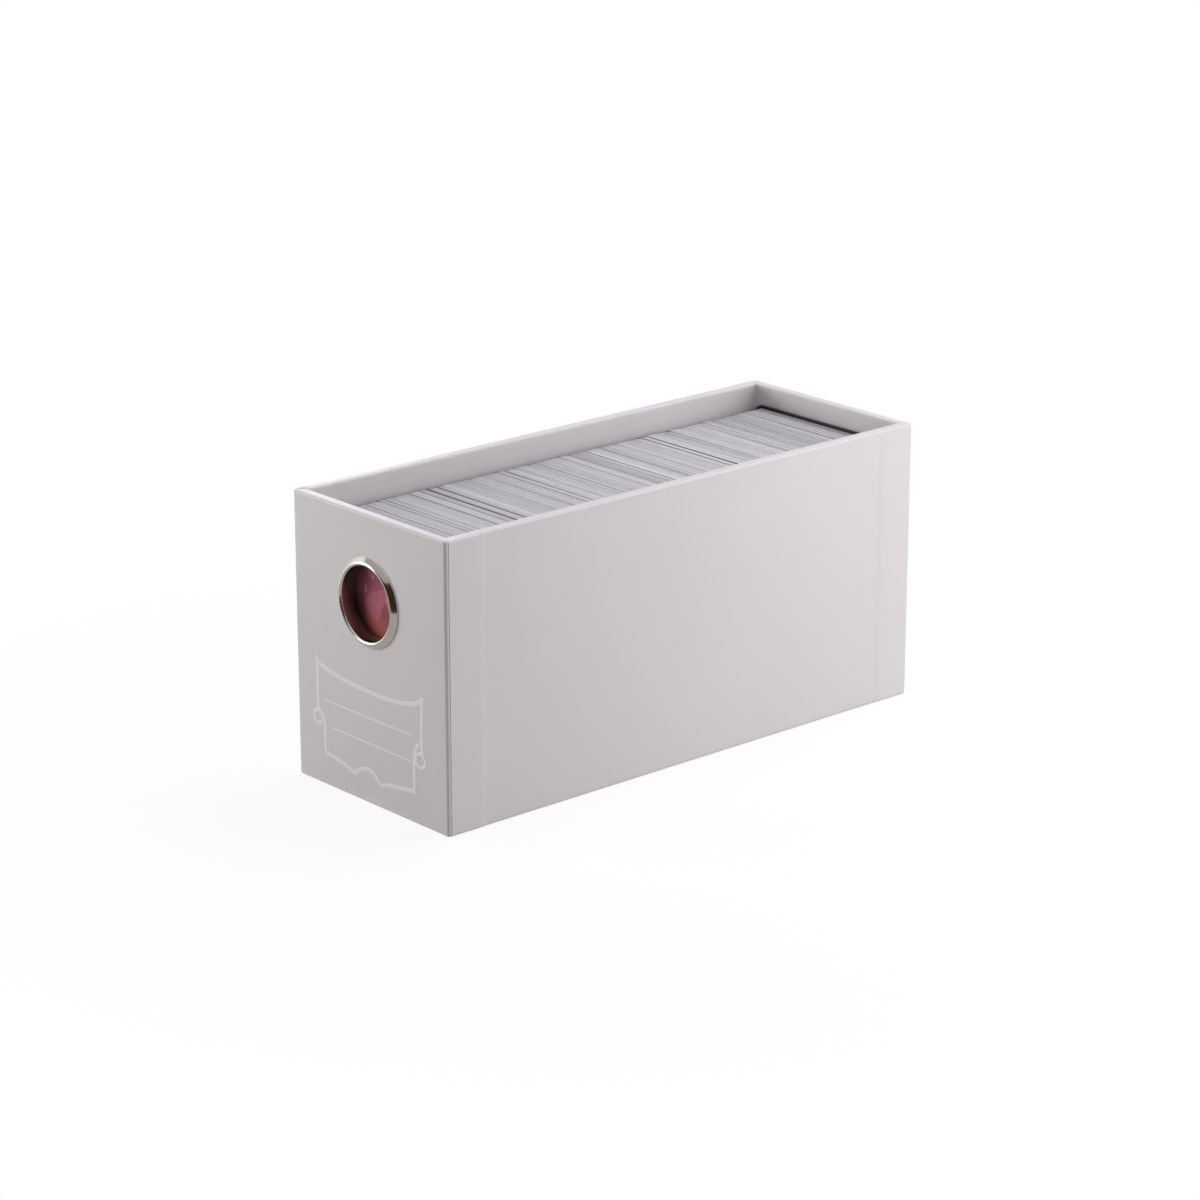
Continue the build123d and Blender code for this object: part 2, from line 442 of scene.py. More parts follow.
def card_back_material():
    """A plain generic card back: a pale border round a lattice of small diamonds."""
    s = Shader("card_backs", **card_gloss)
    u, v = s.card_place()
    rows, columns = 20.0, 14.0
    across, up = s.times(u, columns), s.times(v, rows)
    one = s.math("PINGPONG", s.math("ADD", across, up), 1.0)
    other = s.math("PINGPONG", s.math("SUBTRACT", across, up), 1.0)
    lines = s.math("MAXIMUM", s.between(one, 0.78, 0.86), s.between(other, 0.78, 0.86))
    lattice = s.mix(lines, (0.035, 0.06, 0.16, 1), (0.42, 0.47, 0.58, 1))
    s.set(Base_Color=s.mix(frame_mask(s, u, v, 0.055, 0.04), (0.78, 0.78, 0.78, 1), lattice))
    s.bump(s.noise(*card_grain), card_grain_depth)
    return s.material


def front_card_material():
    """Mauve crystals over ember, darkened to near black all round a spot right of the middle with painted
    shade of the ring's barrel, above a bare panel, in a dark border.
    """
    s = Shader("front_card_face", Specular_IOR_Level=0.3, Roughness=0.5)
    u, v = s.card_place()
    place = s.place((1, 1, 0.7))
    wander = s.add("ShaderNodeTexNoise", {"Vector": place, "Scale": 70.0, "Detail": 2.0}).outputs["Color"]
    shifted = s.add("ShaderNodeVectorMath", {0: wander, "Scale": 0.012}, operation="SCALE").outputs[0]
    shifted = s.add("ShaderNodeVectorMath", {0: place, 1: shifted}, operation="ADD").outputs[0]
    facets = s.add("ShaderNodeTexVoronoi", {"Vector": shifted, "Scale": 130.0}).outputs["Color"]
    facet = s.add("ShaderNodeSeparateColor", {0: facets}).outputs[0]
    ramp = s.add("ShaderNodeValToRGB", {"Fac": facet})
    stops = [
        (0.0, (0.16, 0.03, 0.05, 1)),
        (0.3, (0.36, 0.085, 0.13, 1)),
        (0.6, (0.50, 0.135, 0.19, 1)),
        (1.0, (0.68, 0.25, 0.29, 1)),
    ]
    set_stops(ramp.color_ramp, stops)
    drift = s.times(s.noise(120.0, 2.0), 0.12)
    ember = s.between(s.math("ADD", v, drift), 0.78, 0.70)
    picture = s.mix(s.times(ember, 0.75), ramp.outputs["Color"], (0.54, 0.13, 0.045, 1))
    # Painted shade of the ring's barrel: the picture darkens to near black away from a spot right of the
    # middle, high on the card.
    aside = s.math("SUBTRACT", u, 0.61)
    above = s.times(s.math("SUBTRACT", v, 0.77), 1.3)
    squares = [s.times(part, part) for part in (aside, above)]
    from_clear_spot = s.math("SQRT", s.math("ADD", *squares))
    clear_of_painted_shade = s.between(s.math("SUBTRACT", from_clear_spot, drift), 0.25, 0.07)
    picture = s.mix(clear_of_painted_shade, s.mix(0.88, picture, (0.012, 0.003, 0.003, 1)), picture)
    face = s.mix(frame_mask(s, u, v, *border), border_black, picture)
    panel = s.times(frame_mask(s, u, v, 0.1, 0.08), s.math("LESS_THAN", v, 0.36))
    s.set(Base_Color=s.mix(panel, face, (0.34, 0.27, 0.23, 1)))
    s.bump(s.noise(*card_grain), card_grain_depth)
    return s.material


def set_stops(ramp, stops):
    """Gives a colour ramp these stops."""
    while len(ramp.elements) < len(stops):
        ramp.elements.new(0.5)
    for element, (position, colour) in zip(ramp.elements, stops):
        element.position = position
        element.color = colour


def divider_material():
    """Black card, a little worn to grey."""
    s = Shader("divider_black", Roughness=0.55, Specular_IOR_Level=0.35)
    s.set(Base_Color=s.mix(s.noise(500.0, 4.0), (0.026, 0.022, 0.024, 1), (0.05, 0.045, 0.048, 1)))
    s.bump(s.noise(2000.0, 3.0), 0.02 * mm)
    return s.material


def ink_material():
    """Pale satin ink, a touch uneven."""
    s = Shader("label_ink", Roughness=0.42, Specular_IOR_Level=0.4, Coat_Weight=0.15, Coat_Roughness=0.3)
    s.set(Base_Color=s.mix(s.noise(700.0, 3.0), (0.88, 0.85, 0.85, 1), (0.93, 0.905, 0.905, 1)))
    s.bump(s.noise(1500.0, 2.0), 0.01 * mm)
    return s.material


wrap_paper = paper_material("wrap_paper", (0.775, 0.742, 0.748, 1), (0.76, 0.728, 0.734, 1), 0.42, 0.15)
lining_paper = paper_material("lining_paper", (0.76, 0.745, 0.745, 1), (0.74, 0.725, 0.725, 1), 0.62, 0.0)
greyboard = greyboard_material()
nickel = metal_material("nickel", (0.74, 0.715, 0.68, 1), 0.13, 0.0015 * mm)
# The barrel's nickel is a darker, rougher copy of the flange's: painted shade inside the ring.
barrel_nickel_painted_shade = metal_material("barrel_nickel_painted_shade", (0.42, 0.39, 0.35, 1), 0.22, 0.003 * mm)
washer_steel = metal_material("washer_steel", (0.62, 0.62, 0.63, 1), 0.3, 0.01 * mm)
card_edges = card_edge_material()
card_faces = card_face_material()
card_backs = card_back_material()
front_card_face = front_card_material()
divider_black = divider_material()
label_ink = ink_material()

# -------- wrap paper


def panel_over(distance):
    """Share of a side panel's paper that is there, this far along it from the end face."""
    return smooth_step((distance - panel_setback) / panel_edge)


def panel_relief(y):
    """How far a side panel stands out over the board's paper: it lies over the flaps near its ends."""
    distance = half_length - abs(y)
    return paper * panel_over(distance) * (1 - smooth_step((distance - flap_length) / flap_ramp))


def ripple(along, z):
    """Slight waviness of paper glued on board, from 0 to 1."""
    waves = math.sin(along * 61 + 1.3) * math.sin(z * 83 + along * 17)
    waves += math.sin(along * 29 + z * 47 + 0.6)
    return 0.5 + 0.25 * waves


def wrap_rows():
    """Heights of the rows of points down the outside of a wall, from under the rim's edge."""
    top, foot = rim - rim_radius, base + edge_radius
    fine_top, fine_foot = ring_centre + fine_reach, ring_centre - fine_reach
    return joined(
        [top, top - beside_fold],
        evenly(top - beside_fold, fine_top, coarse_mesh),
        evenly(fine_top, fine_foot, fine_mesh),
        evenly(fine_foot, foot + beside_fold, coarse_mesh),
        [foot + beside_fold, foot],
    )


def side_places(side):
    """Places along one side, from corner to corner. Sides: front 0, right 1, back 2, left 3."""
    if side % 2:
        ramp_mesh, cut_mesh = 0.4 * mm, 0.03 * mm
        end = half_length - edge_radius
        cut = half_length - panel_setback
        ramp = half_length - flap_length
        ramp_end = ramp - flap_ramp
        half = joined(
            [0],
            evenly(0, ramp_end, coarse_mesh),
            evenly(ramp_end, ramp, ramp_mesh),
            evenly(ramp, cut - panel_edge, coarse_mesh),
            evenly(cut - panel_edge, cut, cut_mesh),
            [cut, end],
        )
    else:
        end = half_width - paper - edge_radius
        if side == 0:
            half = joined(evenly(0, fine_reach, fine_mesh), evenly(fine_reach, end, coarse_mesh))
        else:
            half = evenly(0, end, coarse_mesh)
    return [-x for x in reversed(half[1:])] + half


def wrap_stations():
    """Stations round the plan of the wrap, each with its outer and inner point, its outward normal,
    its place along the side, and how much of a side panel's fold lies over its rim."""
    flat_half = {0: half_width - paper, 1: half_length}
    faces = {0: half_length, 1: half_width - paper}
    inner = {0: (inner_half_width, inner_half_length), 1: (inner_half_length, inner_half_width)}
    corner_steps = 8
    stations = []
    for side in range(4):
        angle = math.radians(90 * side - 90)
        normal = Vector((math.cos(angle), math.sin(angle)))
        travel = Vector((-normal.y, normal.x))
        kind = side % 2
        outer_end = flat_half[kind] - edge_radius
        inner_end = inner[kind][0] - inner_corner_radius
        for along in side_places(side):
            relief = panel_relief(along) if kind else 0.0
            over = panel_over(half_length - abs(along)) if kind else 0.0
            outer = travel * along + normal * (faces[kind] + relief)
            inside = travel * (along * inner_end / outer_end) + normal * inner[kind][1]
            stations.append((outer, inside, normal, side, along, over))
        outer_centre = travel * outer_end + normal * (faces[kind] - edge_radius)
        inner_centre = travel * inner_end + normal * (inner[kind][1] - inner_corner_radius)
        for turn in quarter(corner_steps)[1:-1]:
            out = normal * math.cos(turn) + travel * math.sin(turn)
            corner = (outer_centre + out * edge_radius, inner_centre + out * inner_corner_radius)
            stations.append((*corner, out, None, 0.0, 0.0))
    return stations


def wrap_profile(station, rows):
    """One station's points, from the turned-in edge up inside, over the rim, down outside, and under.
    With each point comes how much of a fold it is, from 0 on a flat to 1."""
    inside_mesh, bulge_mesh, rim_fold, ripple_shift = 3.0 * mm, 0.8 * mm, 0.4, 0.3
    outer, inside, normal, side, along, over = station
    top = rim - rim_step * (1 - over)
    turned_edge = lining_high.z + lining_gap
    points = []
    fold_foot = top - inner_edge_radius
    for z in joined(
        evenly(turned_edge, top - fold_bulge_depth, inside_mesh),
        evenly(top - fold_bulge_depth, fold_foot - beside_fold, bulge_mesh),
    ):
        bulge = fold_bulge * smooth_step(1 - (fold_foot - z) / (fold_bulge_depth - inner_edge_radius))
        points.append((inside - normal * bulge, z, 0.0))
    inside = inside - normal * fold_bulge
    for turn in quarter(fold_steps):
        out = inside + normal * inner_edge_radius * (1 - math.cos(turn))
        points.append((out, fold_foot + inner_edge_radius * math.sin(turn), 1.0))
    flat_start = inside + normal * inner_edge_radius
    flat_end = outer - normal * rim_radius
    for share in (0.25, 0.5, 0.75):
        points.append((flat_start.lerp(flat_end, share), top, rim_fold))
    for turn in quarter(fold_steps):
        out = flat_end + normal * rim_radius * math.sin(turn)
        points.append((out, top - rim_radius * (1 - math.cos(turn)), 1.0))
    corner = side is None
    half = half_length if side in (1, 3) else half_width
    fade = smooth_step((half - abs(along)) / ripple_fade)
    for z in rows[1:-1]:
        wave = 0.0 if corner else ripple(along + side * ripple_shift, z)
        points.append((outer - normal * ripple_depth * wave * fade, z, 1.0 if corner else 0.0))
    foot = rows[-1]
    foot_end = outer - normal * edge_radius
    for turn in quarter(fold_steps):
        out = foot_end + normal * edge_radius * math.cos(turn)
        points.append((out, foot - edge_radius * math.sin(turn), 1.0))
    under_x = half_width - turn_under
    under_y = half_length - turn_under
    under = Vector((min(max(outer.x, -under_x), under_x), min(max(outer.y, -under_y), under_y)))
    for share in (0.33, 0.67, 1.0):
        points.append((foot_end.lerp(under, share), base, 0.0))
    return points


def build_wrap():
    """The wrap paper: one closed skin, pierced for the finger ring."""
    rows = wrap_rows()
    stations = wrap_stations()
    profiles = [wrap_profile(station, rows) for station in stations]
    length = len(profiles[0])
    vertices = [(p.x, p.y, z) for profile in profiles for p, z, _ in profile]
    centre = Vector((0, ring_centre))
    hole_cut = ring_hole_radius + 0.4 * mm  # faces with corners nearer than this on average are left out
    hole_reach = ring_hole_radius + 0.7 * mm  # points nearer than this move to the hole's edge
    front_depth, elsewhere = 0.5 * mm, 1.0

    def from_ring(i):
        """Distance of a point on the front from the ring's centre, and a great one for other points."""
        x, y, z = vertices[i]
        return (Vector((x, z)) - centre).length if y < front_face + front_depth else elsewhere

    faces = []
    for i in range(len(profiles)):
        after = (i + 1) % len(profiles)
        for j in range(length - 1):
            face = (i * length + j, i * length + j + 1, after * length + j + 1, after * length + j)
            if sum(from_ring(k) for k in face) / 4 > hole_cut:
                faces.append(face)
    used = {k for face in faces for k in face}
    for k in used:
        if from_ring(k) < hole_reach:
            x, _, z = vertices[k]
            out = (Vector((x, z)) - centre).normalized() * ring_hole_radius
            vertices[k] = (out.x, front_face, ring_centre + out.y)
    vertices, faces = merged(vertices, faces)
    piece = mesh_piece("wrap", vertices, faces, [wrap_paper], "box")
    attribute = piece.data.attributes.new("fold", "FLOAT", "POINT")
    by_place = {}
    for profile in profiles:
        for p, z, fold in profile:
            by_place[place_key((p.x, p.y, z))] = fold
    values = [by_place.get(place_key(v.co), 0.0) for v in piece.data.vertices]
    attribute.data.foreach_set("value", values)
    thickness = piece.modifiers.new("paper", "SOLIDIFY")
    thickness.thickness = paper * skin_share
    thickness.offset = -1.0
    thickness.use_even_offset = False
    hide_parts("outer_wrap")


build_wrap()

# -------- printed label frame


def curve_through(points, steps=10):
    """A smooth line through these points."""
    ends = [points[0] * 2 - points[1], *points, points[-1] * 2 - points[-2]]
    line = []
    for a, b, c, d in zip(ends, ends[1:], ends[2:], ends[3:]):
        for step in range(steps):
            t = step / steps
            square = 2 * b + (c - a) * t + (2 * a - 5 * b + 4 * c - d) * t**2
            line.append(0.5 * (square + (3 * b - a - 3 * c + d) * t**3))
    return line + [points[-1]]


def stroke(line, width, level, vertices, faces, closed=False):
    """Adds a raised printed line of this width that follows these points on the front face."""
    top_share = 0.94  # of the width, so the line's edges slope
    count = len(line)
    first = len(vertices)
    for i, point in enumerate(line):
        before = line[i - 1] if i or closed else point
        after = line[(i + 1) % count] if i < count - 1 or closed else point
        along = (after - before).normalized()
        aside = Vector((-along.y, along.x)) * width / 2
        top = aside * top_share
        for side, depth in ((aside, 0.0), (top, level), (-top, level), (-aside, 0.0)):
            vertices.append((point.x + side.x, front_face - depth, point.y + side.y))
    for i in range(count if closed else count - 1):
        a, b = first + 4 * i, first + 4 * ((i + 1) % count)
        for k in range(4):
            n = (k + 1) % 4
            faces.append((a + k, b + k, b + n, a + n))
    if not closed:
        last = first + 4 * (count - 1)
        faces.append((first, first + 1, first + 2, first + 3))
        faces.append((last + 3, last + 2, last + 1, last))


def build_label():
    """The scroll-shaped frame and its two writing lines, printed in pale ink on the front."""

    def at(*pairs):
        return [Vector((x * mm, z * mm)) for x, z in pairs]

    def loop(x, z, radius, steps=28):
        turns = [2 * math.pi * i / steps for i in range(steps)]
        return [Vector((x + radius * math.cos(t), z + radius * math.sin(t))) * mm for t in turns]

    vertices, faces = [], []
    bold, medium, fine = 1.6 * mm, 1.4 * mm, 0.55 * mm
    level = 0.012 * mm
    scroll_top = at(
        *((-28.9, 44.6), (-27.0, 42.6), (-20.5, 41.0), (-11.0, 39.9), (0, 39.4)),
        *((11.5, 39.6), (20.5, 41.0), (25.4, 42.8), (27.4, 44.8)),
    )
    notch = at(
        *((-9.3, 8.6), (-7.2, 10.2), (-5.0, 11.4), (-1.6, 12.0)),
        *((1.4, 11.2), (3.4, 9.6), (4.9, 8.0)),
    )
    strokes = [
        scroll_top,
        at((-28.2, 44.0), (-28.1, 38.0), (-28.2, 31.0), (-27.9, 26.6)),
        at((-26.2, 25.2), (-24.9, 23.5), (-24.7, 18.0), (-24.6, 11.6)),
        at((-25.2, 12.2), (-20.5, 11.3), (-14.4, 10.3), (-8.9, 8.8)),
        notch,
        at((4.4, 8.2), (8.7, 9.4), (15.5, 10.4), (22.9, 11.3)),
        at((22.4, 10.8), (22.4, 17.0), (22.5, 22.4), (23.3, 26.0), (25.2, 28.6)),
        at((26.9, 43.8), (26.6, 37.0), (26.4, 30.0), (26.6, 25.4)),
    ]
    # Each line lies a little higher than the one before, so that no two coincide where they cross.
    for number, points in enumerate(strokes):
        stroke(curve_through(points), bold, level * (1 + 0.1 * number), vertices, faces)
    for x, z, radius, layer in ((-28.1, 23.5, 2.35, 2.0), (25.7, 22.7, 2.4, 2.1)):
        stroke(loop(x, z, radius), medium, level * layer, vertices, faces, closed=True)
    writing_lines = [
        at((-24.6, 30.4), (-2.0, 30.3), (21.6, 30.5)),
        at((-20.2, 21.5), (0.0, 21.4), (20.8, 21.3)),
    ]
    for points in writing_lines:
        stroke(curve_through(points), fine, level, vertices, faces)
    mesh_piece("label_frame", vertices, faces, [label_ink], "box", sharp=60.0)


build_label()

# -------- finger ring


def rounded(points, radii, steps=9):
    """A line through these points, with each corner turned as an arc of its own radius."""
    line = [points[0]]
    for before, corner, after, radius in zip(points, points[1:], points[2:], radii):
        into, out = (corner - before).normalized(), (after - corner).normalized()
        turn = into.angle(out)
        centre = corner + (out - into).normalized() * radius / math.cos(turn / 2)
        start = corner - into * radius * math.tan(turn / 2) - centre
        end = corner + out * radius * math.tan(turn / 2) - centre
        for step in range(steps + 1):
            t = step / steps
            spread = start * math.sin((1 - t) * turn) + end * math.sin(t * turn)
            line.append(centre + spread / math.sin(turn))
    return line + [points[-1]]


def build_ring():
    """The nickel ring: a domed flange, a barrel through the wall, and a lip rolled over the washer."""
    segments, roll_steps = 192, 6
    barrel_start, barrel_mesh, on_bore = -0.25 * mm, 0.5 * mm, 0.01 * mm
    # Each point of the profile has a radius, and how far it stands out from the front face.
    corners = [
        (ring_outer_radius, 0.0),
        (ring_outer_radius, ring_edge),
        (ring_bore_radius + ring_crest_width, ring_crown),
        (ring_bore_radius, ring_crown),
        (ring_bore_radius, 0.0),
    ]
    radii = [ring_edge_rounding, ring_crest_rounding, ring_mouth_rounding]
    profile = [tuple(point) for point in rounded([Vector(corner) for corner in corners], radii)]
    back = -ring_depth
    washer_back = -(washer_high.y - front_face)
    barrel_end = back + 0.4 * mm
    profile += [(ring_bore_radius, out) for out in evenly(barrel_start, barrel_end, barrel_mesh)]
    for turn in quarter(roll_steps)[1:-1]:
        radius = ring_bore_radius + ring_roll * (1 - math.cos(turn))
        profile.append((radius, back + ring_roll * (1 - math.sin(turn))))
    profile += [(ring_bore_radius + ring_roll, back), (ring_lip_radius - ring_lip_chamfer, back)]
    profile += [(ring_lip_radius, back + ring_lip_chamfer), (ring_lip_radius, washer_back)]
    profile += [(ring_barrel_radius, washer_back), (ring_barrel_radius, 0.0)]
    vertices, faces, kinds = [], [], []
    for i in range(segments):
        turn = 2 * math.pi * i / segments
        for radius, out in profile:
            x, z = radius * math.cos(turn), ring_centre + radius * math.sin(turn)
            vertices.append((x, front_face - out, z))
    count = len(profile)
    for i in range(segments):
        after = (i + 1) % segments
        for j in range(count):
            n = (j + 1) % count
            faces.append((i * count + j, i * count + n, after * count + n, after * count + j))
            in_barrel = max(profile[j][0], profile[n][0]) < ring_bore_radius + on_bore
            kinds.append(1 if in_barrel else 0)
    # The barrel takes the darker nickel, which is painted shade inside the ring.
    metals = [nickel, barrel_nickel_painted_shade]
    piece = mesh_piece("finger_ring_turned", vertices, faces, metals, "box", sharp=40.0)
    piece.data.polygons.foreach_set("material_index", kinds)
    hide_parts("finger_ring")


build_ring()

# -------- cards


def card_outline():
    """Stations across a card, from -1 at its left edge to 1 at its right, and the corner's rise there."""
    corner_steps, middle_step = 5, 0.17
    half = card_width / 2
    left = []
    for turn in quarter(corner_steps):
        x = -half + card_corner_radius * (1 - math.cos(turn))
        left.append((x / half, card_corner_radius * (1 - math.sin(turn))))
    middle = [(x, 0.0) for x in evenly(left[-1][0], -left[-1][0], middle_step)[1:-1]]
    right = [(-x, rise) for x, rise in reversed(left)]
    return left + middle + right


outline = card_outline()


def blend_ends(ends, across):
    """A value that is given at the left edge, the middle and the right edge of a card."""
    left, middle, right = ends
    share = smooth_step(abs(across))
    return middle + ((left if across < 0 else right) - middle) * share


def add_card(
    front, aside, lift, thickness, mesh, width=card_width, height=card_height, centre=card_centre
):
    """Adds one upright card. front is its face's Y at the left, middle and right. Of the kinds, 0 is a
    cut edge, 1 the face and 2 the back."""
    vertices, faces, kinds, uvs = mesh
    first = len(vertices)
    for across, rise in outline:
        x = centre + aside + across * width / 2
        y = blend_ends(front, across)
        low = card_foot + lift + rise
        high = card_foot + lift + height - rise
        vertices += [(x, y, low), (x, y, high), (x, y + thickness, high), (x, y + thickness, low)]
    last = len(outline) - 1
    for k in range(last):
        a, b = first + 4 * k, first + 4 * (k + 1)
        (near, near_rise), (far, far_rise) = outline[k], outline[k + 1]
        u0, u1 = (near + 1) / 2, (far + 1) / 2
        v0, v1 = near_rise / height, far_rise / height
        faces += [
            (a, b, b + 1, a + 1),
            (a + 1, b + 1, b + 2, a + 2),
            (a + 2, b + 2, b + 3, a + 3),
            (a + 3, b + 3, b, a),
        ]
        kinds += [1, 0, 2, 0]
        uvs += [(u0, v0), (u1, v1), (u1, 1 - v1), (u0, 1 - v0)]
        uvs += [(0, u0), (0, u1), (1, u1), (1, u0)]
        uvs += [(1 - u0, 1 - v0), (1 - u1, 1 - v1), (1 - u1, v1), (1 - u0, v0)]
        uvs += [(1, u0), (1, u1), (0, u1), (0, u0)]
    end = first + 4 * last
    faces += [(first, first + 1, first + 2, first + 3), (end + 3, end + 2, end + 1, end)]
    kinds += [0, 0]
    uvs += [(0, 0), (0, 1), (1, 1), (1, 0)] + [(1, 0), (1, 1), (0, 1), (0, 0)]


def finish_cards(name, mesh, tones, hues, materials, body):
    """Makes a piece of these cards, each with its own tone and hue."""
    vertices, faces, kinds, uvs = mesh
    piece = mesh_piece(name, vertices, faces, materials, body)
    piece.data.polygons.foreach_set("material_index", kinds)
    layer = piece.data.uv_layers.new(name="card")
    layer.data.foreach_set("uv", [c for uv in uvs for c in uv])
    per_card = len(faces) // len(tones)
    for label, values in (("tone", tones), ("hue", hues)):
        attribute = piece.data.attributes.new(label, "FLOAT", "FACE")
        attribute.data.foreach_set("value", [v for v in values for _ in range(per_card)])
    return piece


def parting_at(y, reach):
    """The gap at the left, middle and right of the parting nearest to y, within this reach."""
    plain_gap, widening = 0.12 * mm, 0.04 * mm

    def off(parting):
        return abs(front_face + parting[0] * mm - y)

    near = [parting for parting in partings if off(parting) < reach]
    if not near:
        return (plain_gap, plain_gap, plain_gap)
    _, left, right = min(near, key=off)
    return (left * mm + widening, (left + right) / 2 * mm, right * mm + widening)


def batch_tone(y):
    """The tone of the cards at this Y."""
    for start, end, tone in batches:
        if start * mm <= y - front_face <= end * mm:
            return tone
    return plain_tone


def spread_gaps(chance, room, special, count):
    """Shares the spare room in a handful out between its cards. special holds the wide gaps."""
    wide_share = 0.8  # the wide gaps take no more of the room than this
    unevenness = 4  # most cards nearly touch, and a few stand apart
    wide = sum(special.values())
    scale = min(1.0, wide_share * room / wide) if wide else 1.0
    weights = [chance.random() ** unevenness for _ in range(count - 1)]
    left_over = room - wide * scale
    total = sum(weights)
    return [left_over * w / total + special.get(i, 0.0) * scale for i, w in enumerate(weights)]


def build_handful(number, chance):
    """The cards of one handful, and for the first handful the front card as well."""
    node = handfuls[number]
    body = f"handful_{number + 1:02d}"
    low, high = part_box(node)
    solid_front = row_front if number == 0 else low.y
    count = round((high.y - solid_front) / card_pitch)
    middle_of_gap = 0.25 * mm  # half of the gap between two handfuls in the solids
    reach = 1.2 * mm
    margin = 1.5 * mm  # partings nearer a handful's ends than this aren't inside it
    before = parting_at(solid_front - middle_of_gap, reach)
    after = parting_at(high.y + middle_of_gap, reach)
    fronts = [solid_front] * 3 if number == 0 else [solid_front - middle_of_gap + g / 2 for g in before]
    backs = [high.y + middle_of_gap - g / 2 for g in after]
    if number == len(handfuls) - 1:
        backs = [high.y] * 3

    def depth(place):
        """How far behind the handful's front a parting lies."""
        return front_face + place * mm - solid_front

    inside = [p for p in partings if margin < depth(p[0]) < high.y - solid_front - margin]
    edges = []
    for part in range(3):
        special = {}
        for place, left, right in inside:
            index = round(depth(place) / card_pitch)
            special[index] = (left, (left + right) / 2, right)[part] * mm
        room = backs[part] - fronts[part] - count * card_thickness
        gaps = spread_gaps(chance, room, special, count)
        y = fronts[part]
        line = [y]
        for gap in gaps:
            y += card_thickness + gap
            line.append(y)
        edges.append(line)
    mesh, tones, hues = ([], [], [], []), [], []
    run, run_tone, run_aside, run_lift = 0, 1.0, 0.0, 0.0
    for i in range(count):
        if run == 0:
            run = chance.randint(*run_lengths)
            run_tone = chance.uniform(*run_tones)
            run_aside = chance.uniform(-run_shift, run_shift) * mm
            run_lift = chance.uniform(*run_rises) * mm
        run -= 1
        front = [line[i] for line in edges]
        tone = batch_tone(front[1]) * run_tone * chance.uniform(*card_tones)
        aside = run_aside + chance.uniform(-card_shift, card_shift) * mm
        lift = run_lift + chance.uniform(*card_rises) * mm
        if number == 0 and i == 0:
            card = ([], [], [], [])
            add_card(front, 0.0, front_card_rise, card_thickness, card)
            materials = [card_edges, front_card_face, card_backs]
            piece = finish_cards("front_card_printed", card, [tone], [0.0], materials, body)
            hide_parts("front_card")
            continue
        add_card(front, aside, lift, card_thickness, mesh)
        tones.append(tone)
        hues.append(chance.random())
    materials = [card_edges, card_faces, card_backs]
    piece = finish_cards(f"{node}_cut", mesh, tones, hues, materials, body)
    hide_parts(node)


chance = random.Random(11)
for number in range(len(handfuls)):
    build_handful(number, chance)


def build_divider():
    """A thin black card standing behind the last card."""
    mesh = ([], [], [], [])
    width = divider_high.x - divider_low.x
    centre = (divider_low.x + divider_high.x) / 2
    height = divider_high.z - divider_low.z
    thickness = divider_high.y - divider_low.y
    add_card([divider_low.y] * 3, 0.0, 0.0, thickness, mesh, width, height, centre)
    materials = [divider_black] * 3
    piece = finish_cards("divider_card", mesh, [1.0], [0.0], materials, "divider")
    bevel = piece.modifiers.new("soft_edges", "BEVEL")
    bevel.width = divider_rounding
    bevel.segments = 2
    bevel.limit_method = "ANGLE"
    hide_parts("rear_divider")


build_divider()

# -------- finishes of the carried-over solids

finishes = {
    "bottom_board": greyboard,
    "left_board": greyboard,
    "right_board": greyboard,
    "front_board": greyboard,
    "back_board": greyboard,
    "base_paper": wrap_paper,
    "floor_lining": lining_paper,
    "wall_lining": lining_paper,
    "ring_washer": washer_steel,
}
for name, finish in finishes.items():
    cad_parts[name].material_slots[0].material = finish

# -------- floor, light and camera


def seen_directly(tree):
    """1 for camera, glossy and transmission rays, and 0 for the light that surfaces gather."""
    path = add_node(tree, "ShaderNodeLightPath").outputs
    total = path["Is Camera Ray"]
    for other in ("Is Glossy Ray", "Is Transmission Ray"):
        inputs = {0: total, 1: path[other]}
        total = add_node(tree, "ShaderNodeMath", inputs, operation="MAXIMUM").outputs[0]
    return total


def bare_material(name):
    """A material with an empty node tree, and that tree."""
    material = bpy.data.materials.new(name)
    material.use_nodes = True
    material.node_tree.nodes.clear()
    return material, material.node_tree


def stage_mesh(name, vertices, faces, material):
    """A mesh object for the stage."""
    mesh = bpy.data.meshes.new(name)
    mesh.from_pydata(vertices, [], faces)
    mesh.materials.append(material)
    return new_object(name, mesh)


